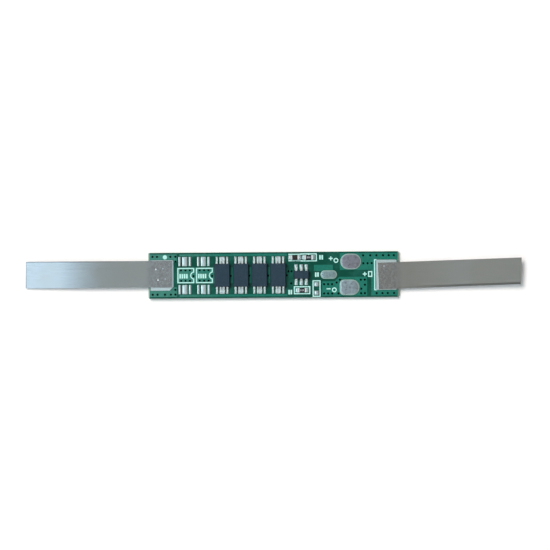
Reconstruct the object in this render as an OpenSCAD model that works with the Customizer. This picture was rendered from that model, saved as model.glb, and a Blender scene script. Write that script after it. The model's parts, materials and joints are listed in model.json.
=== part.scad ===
// Battery management board for one lithium cell: a narrow two-sided printed
// board with a row of power transistors in gull-wing packages, a six-pin
// control chip, chip parts, output lands and a nickel strip tab at each end.
// The origin is the centre of the board's underside, +X runs along the board
// to the positive tab and +Z points to the component side.

/* [Board] */
// Width of the board
board_w = 8.6; // [8.6:0.1:12]
// Thickness of the laminate
board_t = 1.0; // [0.8:0.1:1.6]
// Corner radius of the board in plan
corner_r = 0.2; // [0.1:0.05:0.6]
// How far the scored bevel reaches in from each short end
bevel_w = 0.25; // [0.1:0.05:0.4]
// How deep the scored bevel goes, from the top and from the underside
bevel_h = 0.3; // [0.1:0.05:0.35]

/* [Zones along the board] */
// Length of the zone with the negative cell tab
neg_zone_l = 5.1; // [5:0.1:8]
// Transistor places that are left empty
empty_places = 2; // [0:1:4]
// Distance from one transistor place to the next
place_pitch = 3.5; // [3.4:0.1:5]
// Length of the zone with the control chip
control_zone_l = 6.5; // [6.3:0.1:9]
// Length of the zone with the output lands
output_zone_l = 9.2; // [9:0.1:12]
// Length of the zone with the positive cell tab
pos_zone_l = 5.2; // [5.1:0.1:8]

/* [Copper and vias] */
// Height of copper under the solder mask above the bare laminate
pour_h = 0.05; // [0.03:0.01:0.1]
// Distance that the copper keeps from the board's edge
edge_gap = 0.3; // [0.2:0.05:0.5]
// Gap between neighbouring copper areas
copper_gap = 0.5; // [0.3:0.05:0.7]
// Width of the bus along each long edge
bus_w = 0.4; // [0.3:0.05:0.6]
// Diameter of a via
via_d = 0.42; // [0.25:0.01:0.44]
// Distance of the outer via rows from the board's long edges
via_inset = 0.75; // [0.65:0.05:0.9]
// Spacing of the vias under a transistor
via_pitch = 0.83; // [0.7:0.01:0.9]
// Distance of the via rows under a transistor from its middle
via_row_y = 1.0; // [0.9:0.05:1.1]

/* [Lands] */
// Height of a tinned land above the laminate
land_h = 0.08; // [0.06:0.01:0.12]
// Clearance between a land and the masked copper or the print
mask_gap = 0.06; // [0.04:0.01:0.1]
// Width of the lower rim round each output land
land_rim = 0.3; // [0.15:0.05:0.4]
// Height of that rim above the laminate
rim_h = 0.055; // [0.03:0.005:0.055]
// Land under the negative tab, along the board
neg_land_l = 4.3; // [4:0.1:4.5]
// Land under the negative tab, across the board
neg_land_w = 5.7; // [5.4:0.1:6]
// Offset of that land from the board's centre line
neg_land_y = 0.05; // [-0.15:0.05:0.1]
// Land under the positive tab, along the board
pos_land_l = 3.85; // [3.6:0.05:4]
// Land under the positive tab, across the board
pos_land_w = 5.65; // [5.4:0.05:5.8]
// Offset of that land and its bracket from the board's centre line
pos_land_y = -0.1; // [-0.15:0.05:0.1]
// Cut corner of the negative land
land_cut = 0.7; // [0.3:0.1:0.9]
// Length of an output land
out_land_l = 3.9; // [3.4:0.1:4.2]
// Width of an output land
out_land_w = 2.95; // [2.4:0.05:3]
// Length of the sense land
sense_land_l = 3.1; // [2.6:0.1:3.2]
// Width of the sense land
sense_land_w = 1.6; // [1.4:0.1:1.7]
// Distance of the output lands from the board's long edges
out_land_inset = 0.4; // [0.35:0.05:0.5]
// Middle of the positive output land, from the start of the output zone
p_plus_at = 5.38; // [5.2:0.02:5.5]
// Middle of the negative output land, from the start of the output zone
p_minus_at = 5.15; // [5:0.05:5.2]
// Middle of the sense land, from the start of the output zone
sense_at = 1.25; // [1.2:0.05:1.3]

/* [Power transistors] */
// Length of the moulded body along the board
fet_l = 3.0; // [2.8:0.1:3.2]
// Width of the moulded body across the board
fet_w = 4.4; // [4.2:0.1:4.6]
// Height of the moulded body
fet_h = 0.95; // [0.8:0.05:1.2]
// Distance over the tips of the leads
fet_span = 6.4; // [6.2:0.1:6.6]
// Distance from one lead to the next
fet_lead_pitch = 0.65; // [0.6:0.01:0.7]
// Width of one lead
fet_lead_w = 0.24; // [0.2:0.01:0.3]
// Length of the flat foot of a lead
fet_foot = 0.5; // [0.4:0.05:0.6]
// Width of the land of one lead
fet_land_w = 0.42; // [0.36:0.01:0.44]
// How far the joined land of the middle pair reaches past their sides
fet_pair_margin = 0.03; // [0.01:0.01:0.08]
// Length of a transistor land
fet_land_l = 1.75; // [1.5:0.05:1.8]
// How far a land reaches past the tip of its lead
fet_toe = 0.3; // [0.2:0.05:0.35]

/* [Control chip] */
// Length of the moulded body along the board
ic_l = 2.9; // [2.7:0.1:3.1]
// Width of the moulded body across the board
ic_w = 1.6; // [1.5:0.05:1.7]
// Height of the moulded body
ic_h = 1.05; // [0.9:0.05:1.2]
// Middle of the chip, from the start of the control zone
ic_at = 2.6; // [2.4:0.05:2.8]
// Distance over the tips of the leads
ic_span = 2.8; // [2.7:0.05:3]
// Distance from one lead to the next
ic_lead_pitch = 0.95; // [0.9:0.01:1]
// Width of one lead
ic_lead_w = 0.38; // [0.3:0.01:0.45]
// Length of the flat foot of a lead
ic_foot = 0.25; // [0.2:0.01:0.3]
// Width of the land of one lead
ic_land_w = 0.6; // [0.5:0.01:0.65]
// Length of a control chip land
ic_land_l = 1.05; // [0.9:0.05:1.1]
// How far a land reaches past the tip of its lead
ic_toe = 0.55; // [0.3:0.05:0.6]

/* [Packages in common] */
// Thickness of the lead frame
lead_t = 0.15; // [0.1:0.01:0.18]
// Bend radius of a lead, to the middle of its thickness
lead_r = 0.13; // [0.11:0.01:0.14]
// Angle of the steep part of a lead to the board
lead_slope = 80; // [70:1:85]
// Gap between a moulded body and the lands below it
standoff = 0.08; // [0.05:0.01:0.12]
// Draft angle of a moulded body
draft = 18; // [5:1:20]
// How deep each lead is anchored in its body
lead_anchor = 0.35; // [0.2:0.05:0.5]
// Radius of the first-pin dimple
dimple_r = 0.24; // [0.15:0.01:0.3]
// Depth of the first-pin dimple and of the ejector mark
dimple_d = 0.05; // [0.03:0.01:0.08]
// Radius of the ejector mark
ejector_r = 0.4; // [0.3:0.05:0.5]
// Middle of the ejector mark, from the lower long side
ejector_inset = 1.0; // [0.9:0.05:1.2]
// Middle of the dimple, from the sides of the body by its first pin
dimple_inset = 0.5; // [0.5:0.05:0.7]

/* [Chip parts] */
// Length of a chip part
chip_l = 1.6; // [1.5:0.05:1.7]
// Width of a chip part
chip_w = 0.8; // [0.7:0.05:0.9]
// Height of a chip resistor
resistor_h = 0.45; // [0.4:0.05:0.55]
// Height of the chip capacitor
capacitor_h = 0.7; // [0.6:0.05:0.8]
// Length of each metal end
end_l = 0.3; // [0.25:0.01:0.35]
// Thickness of the metal on the ends
end_t = 0.03; // [0.02:0.01:0.05]
// Thickness of the dark glaze on a resistor
glaze_t = 0.03; // [0.02:0.01:0.05]
// Length of a chip part's land
chip_land_l = 0.85; // [0.75:0.05:0.9]
// Width of a chip part's land
chip_land_w = 0.85; // [0.8:0.05:0.9]
// Distance between the middles of the two lands of a chip part
chip_land_pitch = 1.6; // [1.5:0.05:1.65]
// Clearance between the lands of a chip part and its printed box
box_gap = 0.125; // [0.1:0.005:0.15]
// Distance of the upper row's boxes from the board's edge
upper_box_inset = 0.3; // [0.25:0.05:0.35]
// Distance of the lower box from the board's edge
lower_box_inset = 0.65; // [0.6:0.05:0.7]
// Distance of the empty place's box from the board's edge
spare_box_inset = 0.14; // [0.1:0.02:0.2]
// Gap between the lower box and the empty place's box
spare_gap = 0.42; // [0.3:0.02:0.45]

/* [Nickel tabs] */
// Length of the negative tab along the strip
neg_tab_l = 27.5; // [15:0.5:40]
// Length of the positive tab along the strip, down its middle
pos_tab_l = 26.8; // [15:0.1:40]
// Width of the strip
tab_w = 5.0; // [4:0.1:5.2]
// Thickness of the strip
tab_t = 0.15; // [0.1:0.01:0.3]
// How far the negative tab lies on the board
neg_tab_lap = 4.45; // [4:0.05:4.5]
// How far the positive tab lies on the board
pos_tab_lap = 3.85; // [3.5:0.05:4]
// Offset of the negative tab from the board's centre line
neg_tab_y = 0.3; // [-0.3:0.05:0.3]
// Offset of the positive tab from the board's centre line, at its inner end
pos_tab_y = -0.35; // [-0.35:0.05:0.3]
// Turn of the positive tab in plan
pos_tab_turn = 1.7; // [-2:0.1:2]
// Slant of the negative tab's outer end; above 0 its lower corner reaches further
neg_tab_slant = 1; // [-8:0.5:8]
// Slant of the positive tab's outer end; above 0 its lower corner reaches further
pos_tab_slant = -4; // [-8:0.5:8]
// Straight share of the negative tab before its bend
neg_tab_run = 0.45; // [0.35:0.01:0.55]
// Straight share of the positive tab before its bend
pos_tab_run = 0.22; // [0.2:0.01:0.5]
// Share of a tab's length that is bent
tab_bend_share = 0.32; // [0.1:0.01:0.4]
// Downward slope of the negative tab past its bend
neg_tab_droop = 4; // [0.5:0.1:4]
// Upward slope of the positive tab past its bend
pos_tab_rise = 1.8; // [0.5:0.1:3]
// Radius of the welding electrode that left its marks
weld_r = 0.4; // [0.3:0.05:0.8]
// Depth of a full weld mark
weld_d = 0.04; // [0.02:0.01:0.08]

/* [Solder] */
// Thickness of the solder under a tab
solder_t = 0.06; // [0.03:0.01:0.1]
// How far the solder shows past a tab
solder_margin = 0.1; // [0.05:0.01:0.15]
// How far a fillet runs out from a metal end
fillet_l = 0.2; // [0.12:0.01:0.25]

/* [Print] */
// Thickness of the printed ink
ink_t = 0.02; // [0.01:0.005:0.03]
// Width of a printed line
line_w = 0.2; // [0.15:0.01:0.22]

/* [Hidden] */
$fn = 32;

// Colours
mask_green = [0.12, 0.42, 0.36];
tin = [0.72, 0.76, 0.77];
nickel = [0.62, 0.64, 0.64];
epoxy = [0.17, 0.2, 0.24];
ceramic = [0.86, 0.85, 0.8];
dull_brown = [0.3, 0.27, 0.25];
glaze_black = [0.14, 0.12, 0.15];
ink = [0.8, 0.94, 0.9];

// The zones, from the negative end to the positive end
fitted_places = 4;
places = empty_places + fitted_places;
place_zone_l = places * place_pitch;
board_l = neg_zone_l + place_zone_l + control_zone_l + output_zone_l + pos_zone_l;
neg_end = -board_l / 2;
pos_end = board_l / 2;
places_x = neg_end + neg_zone_l;
control_x = places_x + place_zone_l;
output_x = control_x + control_zone_l;
pos_x = output_x + output_zone_l;
edge_y = board_w / 2;
copper_y = edge_y - edge_gap;
via_y = edge_y - via_inset;

// Levels above the underside
land_z = board_t + land_h;
tab_z = land_z + solder_t;

// The control chip and the chip parts in their zone; the upper row's two boxes
// share a side and the capacitor's lands reach the left side of its box
chip_pair_l = chip_land_pitch + chip_land_l;
box_l = chip_pair_l + 2 * (box_gap + line_w);
box_w = chip_land_w + 2 * (box_gap + line_w);
lower_shift = 0.13;
ic_x = control_x + ic_at;
upper_chip_y = edge_y - upper_box_inset - box_w / 2;
lower_chip_y = lower_box_inset + box_w / 2 - edge_y;
capacitor_x = control_x + line_w + chip_pair_l / 2;
resistor_1_x = capacitor_x + chip_pair_l + box_gap;
resistor_2_x = ic_x + lower_shift;
spare_x = resistor_2_x + box_l / 2 + spare_gap + box_w / 2;
spare_y = spare_box_inset + box_l / 2 - edge_y;

// The lands in the output zone and at the ends
p_plus_x = output_x + p_plus_at;
p_minus_x = output_x + p_minus_at;
p_minus_l = out_land_l - 0.15;
out_land_y = edge_y - out_land_inset - out_land_w / 2;
sense_x = output_x + sense_at;
score_gap = 0.15;
neg_land_x = neg_end + bevel_w + score_gap + neg_land_l / 2;
pos_land_x = pos_end - bevel_w - score_gap - pos_land_l / 2;
end_land_r = 0.25;

// Copper areas: the ears beside the negative land, the margins round the
// output lands, the gaps beside them and the corners of the sense area
upper_ear_w = 1.45;
lower_ear_w = 1.8;
pour_margin = 0.1;
sense_gap = 0.45;
end_pour_gap = 0.75;
sense_pour_from = [-2.75, 0.7];
sense_pour_to = [0.8, 1.85];

// How far a cutting or trimming body reaches past what it trims
over = 1;

// Transistor footprint
fet_land_y = fet_span / 2 + fet_toe - fet_land_l / 2;
fet_outer_pin = 1.5 * fet_lead_pitch;
fet_pair_w = fet_lead_pitch + fet_lead_w + 2 * fet_pair_margin;
drain_y = fet_land_y - fet_land_l / 2 - copper_gap / 2;
ic_land_y = ic_span / 2 + ic_toe - ic_land_l / 2;

// Sizes of the printed marks
mark_l = fet_l + 0.15;
mark_h = 2.87;
mark_shift = 0.18;
notch_r = 0.75;
bar_w = 0.3;
bar_h = 0.85;
bar_pitch = 0.42;
ring_r = 0.46;
dot_r = 0.4;
square_mark = [0.8, 1.1];
bracket_w = 0.22;
bracket_tip = 0.55;
bracket_h = pos_land_w + 0.17;
tick_l = 0.3;

// Places of the printed marks
bracket_x = pos_x + 0.56;
plus_ring_at = [p_plus_x - 2.75, out_land_y + 0.22];
minus_ring_at = [p_minus_x - 2.87, -0.45 - out_land_y];
square_at = [bracket_x - 0.73, 0.05];
dot_at = [neg_end + 3.13, edge_y - 0.85];
place_bars_at = [-0.25, -0.12];
upper_bars_at = [spare_x + 0.9, upper_chip_y];
lower_bars_at = [control_x + 0.5, lower_chip_y - 0.35];
spare_bars_at = [spare_x + 0.08, 0];

function place_x(k) = places_x + (k + 0.5) * place_pitch;
function fitted_x(n) = place_x(empty_places + n - 1);
function rad_point(angle, radius) = radius * [cos(angle), sin(angle)];

// A bent strip is a list of legs, each [straight length, turn, bend radius, steps].
// The walk gives each point of its middle line with the heading there.
lead_steps = 5;
tab_steps = 16;
function turned(p, a, turn, r, f) =
    p + (turn > 0 ? 1 : -1) * (rad_point(a + 90, r) - rad_point(a + turn * f + 90, r));
function walk(legs, i = 0, p = [0, 0], a = 0) =
    let (leg = legs[i], q = p + rad_point(a, leg[0]))
    let (straight = [[p, a], [q, a]])
    i == len(legs) - 1 ? straight :
    let (bend = [for (k = [1 : leg[3] - 1])
        [turned(q, a, leg[1], leg[2], k / leg[3]), a + leg[1] * k / leg[3]]])
    concat(straight, bend,
        walk(legs, i + 1, turned(q, a, leg[1], leg[2], 1), a + leg[1]));

// Section of a strip of thickness t along its legs
module strip_section(legs, t) {
    line = walk(legs);
    upper = [for (s = line) s[0] + rad_point(s[1] + 90, t / 2)];
    lower = [for (s = line) s[0] - rad_point(s[1] + 90, t / 2)];
    polygon(concat(upper, [for (i = [len(lower) - 1 : -1 : 0]) lower[i]]));
}

// A section drawn in X and Z, with its middle at Y = 0
module across(width) {
    rotate([90, 0, 0])
        linear_extrude(width, center = true)
            children();
}

module rounded_rect(l, w, r) {
    square([l - 2 * r, w], center = true);
    if (w > 2 * r + 0.001)
        square([l, w - 2 * r], center = true);
    for (x = [-1, 1], y = [-1, 1])
        translate([x * (l / 2 - r), y * (w / 2 - r)])
            circle(r);
}

module box_outline(l, w) {
    difference() {
        square([l, w], center = true);
        square([l - 2 * line_w, w - 2 * line_w], center = true);
    }
}

// ---- Outlines of the lands; grow widens them to the opening in the mask ----

module fet_lands_outline(grow = 0) {
    for (k = [0 : places - 1], side = [-1, 1])
        translate([place_x(k), side * fet_land_y]) {
            for (pin = [-1, 1])
                translate([pin * fet_outer_pin, 0])
                    square([fet_land_w + 2 * grow, fet_land_l + 2 * grow], center = true);
            square([fet_pair_w + 2 * grow, fet_land_l + 2 * grow], center = true);
        }
}

module control_lands_outline(grow = 0) {
    for (pin = [-1 : 1], side = [-1, 1])
        translate([ic_x + pin * ic_lead_pitch, side * ic_land_y])
            square([ic_land_w + 2 * grow, ic_land_l + 2 * grow], center = true);
}

module chip_place(x, y, turn = 0) {
    translate([x, y])
        rotate(turn)
            children();
}

module at_chip_places() {
    chip_place(capacitor_x, upper_chip_y)
        children();
    chip_place(resistor_1_x, upper_chip_y)
        children();
    chip_place(resistor_2_x, lower_chip_y)
        children();
}

module chip_land_pair(grow = 0) {
    for (side = [-1, 1])
        translate([side * chip_land_pitch / 2, 0])
            square([chip_land_l + 2 * grow, chip_land_w + 2 * grow], center = true);
}

module chip_lands_outline(grow = 0) {
    at_chip_places()
        chip_land_pair(grow);
    chip_place(spare_x, spare_y, 90)
        chip_land_pair(grow);
}

module neg_land_outline(grow = 0) {
    l = neg_land_l / 2 + grow;
    w = neg_land_w / 2 + grow;
    translate([neg_land_x, neg_land_y])
        polygon([[-l, -w], [l - land_cut, -w], [l, land_cut - w], [l, w], [-l, w]]);
}

module pos_land_outline(grow = 0) {
    translate([pos_land_x, pos_land_y])
        rounded_rect(pos_land_l + 2 * grow, pos_land_w + 2 * grow, end_land_r + grow);
}

module p_plus_outline(grow = 0) {
    w = out_land_w + 2 * grow;
    translate([p_plus_x, out_land_y])
        rounded_rect(out_land_l + 2 * grow, w, w / 2);
}

// The negative output land is round at one end and squarer at the other
module p_minus_outline(grow = 0) {
    l = p_minus_l + 2 * grow;
    w = out_land_w + 2 * grow;
    square_end = l / 2;
    translate([p_minus_x, -out_land_y]) {
        rounded_rect(l, w, w / 2);
        translate([(square_end - l) / 2, 0])
            rounded_rect(square_end, w, w / 4);
    }
}

module sense_outline(grow = 0) {
    w = sense_land_w + 2 * grow;
    translate([sense_x, 0])
        rounded_rect(sense_land_l + 2 * grow, w, w / 2);
}

module all_lands_outline(grow = 0) {
    fet_lands_outline(grow);
    control_lands_outline(grow);
    chip_lands_outline(grow);
    neg_land_outline(grow);
    pos_land_outline(grow);
    p_plus_outline(grow);
    p_minus_outline(grow);
    sense_outline(grow);
}

// ---- Copper under the mask ----

module span(x1, y1, x2, y2) {
    translate([x1, y1])
        square([x2 - x1, y2 - y1]);
}

// Round the negative tab, with an ear along each long edge
module neg_pour() {
    ear_end = places_x + copper_gap / 2;
    land_end = neg_land_x + neg_land_l / 2;
    span(neg_end + edge_gap, -copper_y, land_end, copper_y);
    span(neg_end + edge_gap, copper_y - upper_ear_w, ear_end, copper_y);
    span(neg_end + edge_gap, -copper_y, ear_end, lower_ear_w - copper_y);
}

// Buses along the long edges and the drain copper under the transistors
module place_pour() {
    start = places_x + copper_gap / 2 + copper_gap;
    for (side = [-1, 1])
        translate([0, side * (copper_y - bus_w / 2)])
            span(start, -bus_w / 2, control_x, bus_w / 2);
    span(places_x + copper_gap / 2, -drain_y, control_x, drain_y);
}

module sense_pour() {
    translate([sense_x, 0])
        span(sense_pour_from[0], sense_pour_from[1], sense_pour_to[0], sense_pour_to[1]);
}

// Positive output and positive tab share one area
module positive_pour() {
    pour_start = p_plus_x - out_land_l / 2 - pour_margin;
    pour_low = out_land_y - out_land_w / 2 - pour_margin;
    span(pour_start, pour_low, pos_end - edge_gap, copper_y);
    span(pos_x, -copper_y, pos_end - edge_gap, copper_y);
}

module negative_pour() {
    left = output_x;
    right = pos_x - end_pour_gap;
    top = -sense_gap;
    step = -sense_land_w / 2 - sense_gap;
    slope_end = p_minus_x - out_land_l / 2;
    polygon([[left, -copper_y], [right, -copper_y], [right, top],
        [slope_end, top], [slope_end + step - top, step], [left, step]]);
}

module pours() {
    difference() {
        union() {
            neg_pour();
            place_pour();
            sense_pour();
            positive_pour();
            negative_pour();
        }
        all_lands_outline(mask_gap);
    }
}

// ---- Vias, each row at its distances from the start of its zone ----

via_row_gap = 0.9;
via_rows = [
    [neg_end, via_y, [0.8, 1.65, 4.15, 5.1]],
    [neg_end, via_y - via_row_gap, [5.1]],
    [neg_end, -via_y, [0.8, 1.7, 3.1, 4.2, 5.05]],
    [neg_end, via_row_gap - via_y, [5.05]],
    [control_x, 0.66, [0.2, 0.77]],
    [control_x, -1.6, [0.7]],
    [output_x, -via_y, [0.37, 1.12, 1.9, 3.05, 7.31, 8.02]],
    [output_x, -1.8, [0.37, 1.12, 1.87]],
    [output_x, -1.5, [2.73]],
    [output_x, -1.0, [3.35, 7.28, 8.02]],
    [output_x, -1.95, [8.03]],
    [output_x, -2.7, [7.34]],
    [output_x, 2.08, [7.76, 8.56, 9.33]],
    [output_x, via_y, [7.72]],
    [pos_x, via_y, [-0.13, 1.03, 2.27, 3.34, 4.3]],
    [pos_x, -via_y, [1.03, 2.12, 3.12, 4.3]]
];
// The vias under a transistor sit a little past its middle, with one in the notch
via_shift = 0.12;
notch_via = [1.62, -0.1];

module vias() {
    for (row = via_rows, x = row[2])
        translate([row[0] + x, row[1]])
            circle(d = via_d, $fn = 16);
    for (k = [0 : places - 1])
        translate([place_x(k), 0]) {
            for (column = [-1 : 1], side = [-1, 1])
                translate([via_shift + column * via_pitch, side * via_row_y])
                    circle(d = via_d, $fn = 16);
            translate(notch_via)
                circle(d = via_d, $fn = 16);
        }
}

// ---- Board ----

module laminate() {
    waist = board_l / 2;
    top = waist - bevel_w;
    intersection() {
        linear_extrude(board_t)
            rounded_rect(board_l, board_w, corner_r);
        across(board_w + over)
            polygon([[-top, 0], [top, 0], [waist, bevel_h], [waist, board_t - bevel_h],
                [top, board_t], [-top, board_t], [-waist, board_t - bevel_h],
                [-waist, bevel_h]]);
    }
}

module board() {
    color(mask_green)
        difference() {
            union() {
                laminate();
                translate([0, 0, board_t])
                    linear_extrude(pour_h)
                        pours();
            }
            translate([0, 0, -over])
                linear_extrude(board_t + pour_h + 2 * over)
                    vias();
        }
}

// ---- Lands ----

module land(h) {
    color(tin)
        translate([0, 0, board_t])
            linear_extrude(h)
                children();
}

module fet_lands() {
    land(land_h)
        fet_lands_outline();
}

module control_lands() {
    land(land_h)
        control_lands_outline();
}

module chip_lands() {
    land(land_h)
        chip_lands_outline();
}

module b_minus_land() {
    land(land_h)
        neg_land_outline();
}

module b_plus_land() {
    land(land_h)
        pos_land_outline();
}

module p_plus_land() {
    land(rim_h)
        p_plus_outline();
    land(land_h)
        p_plus_outline(-land_rim);
}

module p_minus_land() {
    land(rim_h)
        p_minus_outline();
    land(land_h)
        p_minus_outline(-land_rim);
}

module sense_land() {
    land(land_h)
        sense_outline();
}

// ---- Gull-wing packages ----

ejector_shift = -0.35;

// Height of the lead frame's middle above the lands
function frame_z(h) = standoff + h / 2;

// Legs of a lead from inside the body, over the shoulder and down to its foot
function lead_legs(h, reach, foot) =
    let (drop_h = frame_z(h) - lead_t / 2 - 2 * lead_r * (1 - cos(lead_slope)))
    let (drop = drop_h / sin(lead_slope))
    let (shoulder = reach - foot - 2 * lead_r * sin(lead_slope) - drop * cos(lead_slope))
    [[lead_anchor + shoulder, -lead_slope, lead_r, lead_steps],
        [drop, lead_slope, lead_r, lead_steps], [foot]];

// Drafted moulding with its parting line at the lead frame
module moulding_section(width, h) {
    half = width / 2;
    inset = h / 2 * tan(draft);
    polygon([[inset - half, 0], [half - inset, 0], [half, h / 2], [half - inset, h],
        [inset - half, h], [-half, h / 2]]);
}

module moulding(l, w, h) {
    translate([0, 0, standoff])
        intersection() {
            across(w + over)
                moulding_section(l, h);
            rotate(90)
                across(l + over)
                    moulding_section(w, h);
        }
}

// One row of leads on each long side, turned so that each points outwards
module lead_rows(count, pitch, w) {
    for (side = [-1, 1], n = [0 : count - 1])
        translate([(n - (count - 1) / 2) * pitch, side * (w / 2 - lead_anchor), 0])
            rotate(side * 90)
                children();
}

module leads(count, pitch, width, w, h, span, foot) {
    color(tin)
        lead_rows(count, pitch, w)
            translate([0, 0, frame_z(h)])
                across(width)
                    strip_section(lead_legs(h, (span - w) / 2, foot), lead_t);
}

// The pockets that the anchored ends of the leads fill
module lead_pockets(count, pitch, width, w, h) {
    lead_rows(count, pitch, w)
        translate([0, 0, frame_z(h)])
            across(width)
                translate([0, -lead_t / 2])
                    square([lead_anchor + over, lead_t]);
}

module package(count, pitch, width, l, w, h) {
    color(epoxy)
        difference() {
            moulding(l, w, h);
            lead_pockets(count, pitch, width, w, h);
        }
}

module fet(n) {
    translate([fitted_x(n), 0, land_z])
        difference() {
            package(4, fet_lead_pitch, fet_lead_w, fet_l, fet_w, fet_h);
            top = standoff + fet_h;
            corner = [fet_l / 2 - dimple_inset, fet_w / 2 - dimple_inset];
            translate([corner[0], corner[1], top - dimple_d])
                cylinder(h = over, r = dimple_r);
            translate([ejector_shift, ejector_inset - fet_w / 2, top - dimple_d / 2])
                cylinder(h = over, r = ejector_r);
        }
}

module fet_leads(n) {
    translate([fitted_x(n), 0, land_z])
        leads(4, fet_lead_pitch, fet_lead_w, fet_w, fet_h, fet_span, fet_foot);
}

module control_chip() {
    translate([ic_x, 0, land_z])
        package(3, ic_lead_pitch, ic_lead_w, ic_l, ic_w, ic_h);
}

module control_leads() {
    translate([ic_x, 0, land_z])
        leads(3, ic_lead_pitch, ic_lead_w, ic_w, ic_h, ic_span, ic_foot);
}

// ---- Chip parts ----

module chip_core(h) {
    translate([end_t - chip_l / 2, end_t - chip_w / 2, end_t])
        cube([chip_l - 2 * end_t, chip_w - 2 * end_t, h - 2 * end_t]);
}

// Metal that wraps round both ends of the core
module chip_ends(h) {
    color(tin)
        difference() {
            for (side = [-1, 1])
                translate([side * (chip_l - end_l) / 2, 0, h / 2])
                    cube([end_l, chip_w, h], center = true);
            chip_core(h);
        }
}

// Dark glaze between the ends, on top of the core
module chip_glaze(h) {
    color(glaze_black)
        translate([end_l - chip_l / 2, end_t - chip_w / 2, h - end_t])
            cube([chip_l - 2 * end_l, chip_w - 2 * end_t, glaze_t]);
}

module on_lands(x, y) {
    translate([x, y, land_z])
        children();
}

module resistor_1() {
    color(ceramic)
        on_lands(resistor_1_x, upper_chip_y)
            chip_core(resistor_h);
}

module resistor_1_ends() {
    on_lands(resistor_1_x, upper_chip_y)
        chip_ends(resistor_h);
}

module resistor_1_glaze() {
    on_lands(resistor_1_x, upper_chip_y)
        chip_glaze(resistor_h);
}

module resistor_2() {
    color(ceramic)
        on_lands(resistor_2_x, lower_chip_y)
            chip_core(resistor_h);
}

module resistor_2_ends() {
    on_lands(resistor_2_x, lower_chip_y)
        chip_ends(resistor_h);
}

module resistor_2_glaze() {
    on_lands(resistor_2_x, lower_chip_y)
        chip_glaze(resistor_h);
}

module capacitor() {
    color(dull_brown)
        on_lands(capacitor_x, upper_chip_y)
            chip_core(capacitor_h);
}

module capacitor_ends() {
    on_lands(capacitor_x, upper_chip_y)
        chip_ends(capacitor_h);
}

// ---- Nickel tabs ----

// Weld marks as distance from the inner end, offset and share of the full depth
weld_marks_minus = [[3.1, 0.9, 1], [2.72, -1.1, 0.9], [1.78, 1.05, 0.5], [1.37, -0.9, 0.5]];
weld_marks_plus = [[1.05, 1.85, 0.8]];

// Places a tab's own frame, from its inner end outwards, at the negative end
module at_minus_tab() {
    translate([neg_end + neg_tab_lap, neg_tab_y, tab_z])
        mirror([1, 0, 0])
            children();
}

module at_plus_tab() {
    translate([pos_end - pos_tab_lap, pos_tab_y, tab_z])
        rotate(pos_tab_turn)
            children();
}

module tab(l, run, slope, slant, marks) {
    bend_l = l * tab_bend_share;
    bend_r = bend_l / (abs(slope) * PI / 180);
    outer_l = l * (1 - run) - bend_l;
    legs = [[l * run, slope, bend_r, tab_steps], [outer_l + over]];
    line = walk(legs);
    tip = line[len(line) - 1][0] - rad_point(slope, over);
    color(nickel)
        difference() {
            translate([0, 0, tab_t / 2])
                across(tab_w)
                    strip_section(legs, tab_t);
            translate([tip[0], 0, tip[1]])
                rotate(slant)
                    translate([2 * over, 0, 0])
                        cube([4 * over, 2 * tab_w, 2 * over], center = true);
            for (mark = marks)
                translate([mark[0], mark[1], tab_t + weld_r - weld_d * mark[2]])
                    sphere(weld_r);
        }
}

// Solder between a tab and its land, from the inner end over the lap; it stops
// a little before the scored bevel
solder_stop = 0.2;
module tab_solder(lap) {
    inner = solder_margin;
    outer = lap - bevel_w - solder_stop;
    color(tin)
        translate([-inner, -tab_w / 2 - solder_margin, -solder_t])
            cube([inner + outer, tab_w + 2 * solder_margin, solder_t]);
}

module tab_minus() {
    at_minus_tab()
        tab(neg_tab_l, neg_tab_run, -neg_tab_droop, neg_tab_slant, weld_marks_minus);
}

module tab_plus() {
    at_plus_tab()
        tab(pos_tab_l, pos_tab_run, pos_tab_rise, pos_tab_slant, weld_marks_plus);
}

module tab_minus_solder() {
    at_minus_tab()
        tab_solder(neg_tab_lap);
}

module tab_plus_solder() {
    at_plus_tab()
        tab_solder(pos_tab_lap);
}

// ---- Solder fillets ----

// Hollow fillet that rises against a face at X = 0
fillet_steps = 5;
chip_fillet_h = resistor_h * 0.8;
module fillet(l, h, width) {
    angles = [for (k = [0 : fillet_steps]) 90 * k / fillet_steps];
    color(tin)
        across(width)
            polygon(concat([[0, 0]],
                [for (a = angles) [l * (1 - sin(a)), h * (1 - cos(a))]]));
}

// A fillet at the tip of each lead of a package
module toe_fillets(count, pitch, width, span) {
    for (side = [-1, 1], n = [0 : count - 1])
        translate([(n - (count - 1) / 2) * pitch, side * span / 2, 0])
            rotate(side * 90)
                fillet(fillet_l, lead_t, width);
}

module fet_solder() {
    for (n = [1 : fitted_places])
        on_lands(fitted_x(n), 0)
            toe_fillets(4, fet_lead_pitch, fet_lead_w, fet_span);
}

module control_solder() {
    on_lands(ic_x, 0)
        toe_fillets(3, ic_lead_pitch, ic_lead_w, ic_span);
}

module chip_solder() {
    translate([0, 0, land_z])
        at_chip_places()
            for (turn = [0, 180])
                rotate(turn)
                    translate([chip_l / 2, 0, 0])
                        fillet(fillet_l, chip_fillet_h, chip_w);
}

// ---- Print ----

// A row of plain upright bars, centred on a point
module bars(count, at) {
    for (n = [0 : count - 1])
        translate([at[0] + (n - (count - 1) / 2) * bar_pitch, at[1]])
            square([bar_w, bar_h], center = true);
}

// Outline of an empty transistor place, with its notch and a row of plain bars
module place_mark() {
    translate([mark_shift, 0]) {
        difference() {
            box_outline(mark_l, mark_h);
            translate([mark_l / 2, 0])
                circle(notch_r - line_w / 2);
        }
        intersection() {
            translate([mark_l / 2, 0])
                ring(notch_r);
            square([mark_l, mark_h], center = true);
        }
    }
    bars(4, place_bars_at);
}

module ring(r) {
    difference() {
        circle(r);
        circle(r - line_w);
    }
}

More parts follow.
